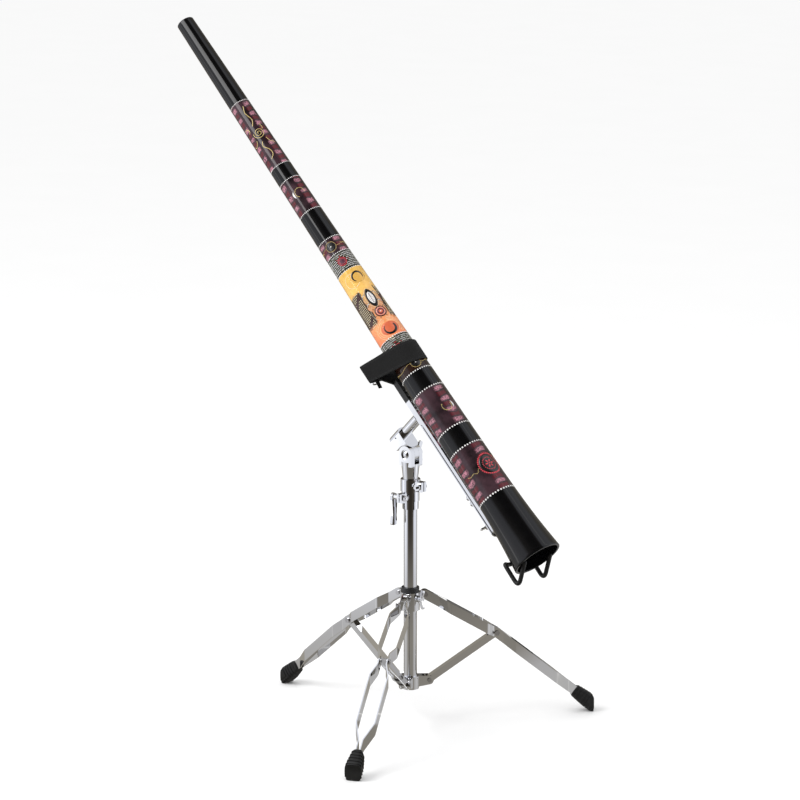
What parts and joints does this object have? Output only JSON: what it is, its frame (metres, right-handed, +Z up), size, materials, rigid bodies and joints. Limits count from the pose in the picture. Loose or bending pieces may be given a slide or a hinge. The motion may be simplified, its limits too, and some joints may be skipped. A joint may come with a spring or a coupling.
{
  "type": "didgeridoo on stand",
  "caption": "Painted fibreglass didgeridoo with a flared bell, strapped in a tilting cradle with hooks on a folding chrome tripod stand.",
  "frame": {"origin": "middle of the underside of the whole object, on the floor", "axes": "+Z up; the instrument lies in the XZ plane and slopes down towards its bell at +X; +Y is to the left of someone who looks from the mouth end to the bell"},
  "size_m": [1.0751, 0.7156, 1.4642],
  "materials": {
    "painted_fibreglass": "hand-painted fibreglass under clear gloss",
    "chrome": "bright chrome plate",
    "zinc_steel": "bright zinc-plated steel",
    "black_steel": "satin black enamel",
    "black_plastic": "moulded nylon",
    "black_rubber": "moulded rubber",
    "black_webbing": "woven webbing"
  },
  "bodies": {
    "stand": {"base_tube": "chrome", "height_clamp": "chrome", "clamp_nut": "zinc_steel", "lower_hub": "chrome", "lower_hub_pins": "zinc_steel", "stop_collar": "chrome", "stop_collar_screw": "zinc_steel"},
    "clamp_lever": {"clamp_lever": "chrome"},
    "swivel": {"clamp_liner": "black_plastic"},
    "mast": {"upper_tube": "chrome", "memory_lock": "chrome", "memory_lock_screw": "chrome", "memory_lock_nut": "zinc_steel", "tilter_fork": "chrome", "tilter_bolt": "chrome", "tilter_washer": "chrome"},
    "tilter_wing_nut": {"tilter_wing_nut": "chrome"},
    "cradle": {"tilter_block": "chrome", "tilter_set_screw": "zinc_steel", "post_tube": "chrome", "post_plug": "zinc_steel", "rail_channel": "chrome", "keeper_strip": "chrome", "rail_spacers": "zinc_steel", "rail_guides": "black_plastic", "keeper_bolts": "zinc_steel", "keeper_nuts": "chrome", "rail_screws": "zinc_steel", "yoke": "black_steel", "splice_block": "zinc_steel", "saddle_block": "black_plastic", "saddle_pad": "black_rubber", "strap": "black_webbing", "strap_buckle": "chrome", "strap_tail": "black_webbing"},
    "rail_wing_screw": {"rail_wing_screw": "chrome"},
    "hooks": {"hook_fork": "black_steel", "hook_sleeve_left": "black_rubber", "hook_sleeve_right": "black_rubber"},
    "instrument": {"didgeridoo": "painted_fibreglass"},
    "leg_hub": {"leg_hub": "chrome", "leg_hub_bushing": "black_plastic", "leg_hub_pins": "zinc_steel"},
    "leg_hub_wing_bolt": {"leg_hub_wing_bolt": "chrome"},
    "leg_front": {"leg_front_strip_left": "chrome", "leg_front_strip_right": "chrome", "leg_front_rivets": "zinc_steel", "leg_front_foot": "black_rubber"},
    "brace_front": {"leg_front_brace": "chrome"},
    "leg_right": {"leg_right_strip_left": "chrome", "leg_right_strip_right": "chrome", "leg_right_rivets": "zinc_steel", "leg_right_foot": "black_rubber"},
    "brace_right": {"leg_right_brace": "chrome"},
    "leg_left": {"leg_left_strip_left": "chrome", "leg_left_strip_right": "chrome", "leg_left_rivets": "zinc_steel", "leg_left_foot": "black_rubber"},
    "brace_left": {"leg_left_brace": "chrome"}
  },
  "joints": [
    {"name": "mast_swivel", "type": "hinge", "parent": "stand", "child": "swivel", "pos_m": [0.14676, 0.01303, 0.5], "axis": [0, 0, 1], "continuous": true},
    {"name": "mast_height", "type": "slide", "parent": "swivel", "child": "mast", "axis": [0, 0, 1], "range_m": [0, 0.3]},
    {"name": "cradle_tilt", "type": "hinge", "parent": "mast", "child": "cradle", "pos_m": [0.14676, 0.01303, 0.591], "axis": [0, 1, 0], "range_deg": [-45, 40]},
    {"name": "hook_slide", "type": "slide", "parent": "cradle", "child": "hooks", "axis": [0.7071, 0, -0.7071], "range_m": [-0.004, 0.024]},
    {"name": "instrument_turn", "type": "hinge", "parent": "cradle", "child": "instrument", "pos_m": [0.13587, 0.01303, 0.79083], "axis": [0.7071, 0, -0.7071], "continuous": true},
    {"name": "clamp_lever_turn", "type": "hinge", "parent": "stand", "child": "clamp_lever", "pos_m": [0.14676, -0.01397, 0.5], "axis": [1, 0, 0], "range_deg": [-90, 90]},
    {"name": "tilter_wing_turn", "type": "hinge", "parent": "mast", "child": "tilter_wing_nut", "pos_m": [0.14676, 0.03703, 0.591], "axis": [0, 1, 0], "continuous": true},
    {"name": "rail_wing_turn", "type": "hinge", "parent": "cradle", "child": "rail_wing_screw", "pos_m": [0.36427, 0.01303, 0.47051], "axis": [0.7071, 0, 0.7071], "continuous": true},
    {"name": "leg_fold", "type": "slide", "parent": "stand", "child": "leg_hub", "axis": [0, 0, 1], "range_m": [0, 0.155]},
    {"name": "leg_hub_wing_turn", "type": "hinge", "parent": "leg_hub", "child": "leg_hub_wing_bolt", "pos_m": [0.17669, 0.01094, 0.28], "axis": [0.9976, -0.0698, 0], "continuous": true},
    {"name": "leg_front_hinge", "type": "hinge", "parent": "leg_hub", "child": "leg_front", "pos_m": [0.16057, -0.01528, 0.284], "axis": [0.8988, 0.4384, 0], "range_deg": [0, 41.53]},
    {"name": "brace_front_hinge", "type": "hinge", "parent": "stand", "child": "brace_front", "pos_m": [0.16407, -0.02247, 0.095], "axis": [0.8988, 0.4384, 0], "range_deg": [-41.99, 0]},
    {"name": "leg_right_hinge", "type": "hinge", "parent": "leg_hub", "child": "leg_right", "pos_m": [0.16437, 0.03915, 0.284], "axis": [-0.829, 0.5592, 0], "range_deg": [0, 41.53]},
    {"name": "brace_right_hinge", "type": "hinge", "parent": "stand", "child": "brace_right", "pos_m": [0.16885, 0.04578, 0.095], "axis": [-0.829, 0.5592, 0], "range_deg": [-41.99, 0]},
    {"name": "leg_left_hinge", "type": "hinge", "parent": "leg_hub", "child": "leg_left", "pos_m": [0.11533, 0.01523, 0.284], "axis": [-0.0698, -0.9976, 0], "range_deg": [0, 41.53]},
    {"name": "brace_left_hinge", "type": "hinge", "parent": "stand", "child": "brace_left", "pos_m": [0.10736, 0.01579, 0.095], "axis": [-0.0698, -0.9976, 0], "range_deg": [-41.99, 0]}
  ],
  "couplings": [
    {"joint": "leg_front_hinge", "follows": "leg_fold", "rad_per_m": 4.6712},
    {"joint": "brace_front_hinge", "follows": "leg_fold", "rad_per_m": -4.7223},
    {"joint": "leg_right_hinge", "follows": "leg_fold", "rad_per_m": 4.6712},
    {"joint": "brace_right_hinge", "follows": "leg_fold", "rad_per_m": -4.7223},
    {"joint": "leg_left_hinge", "follows": "leg_fold", "rad_per_m": 4.6712},
    {"joint": "brace_left_hinge", "follows": "leg_fold", "rad_per_m": -4.7223}
  ]
}
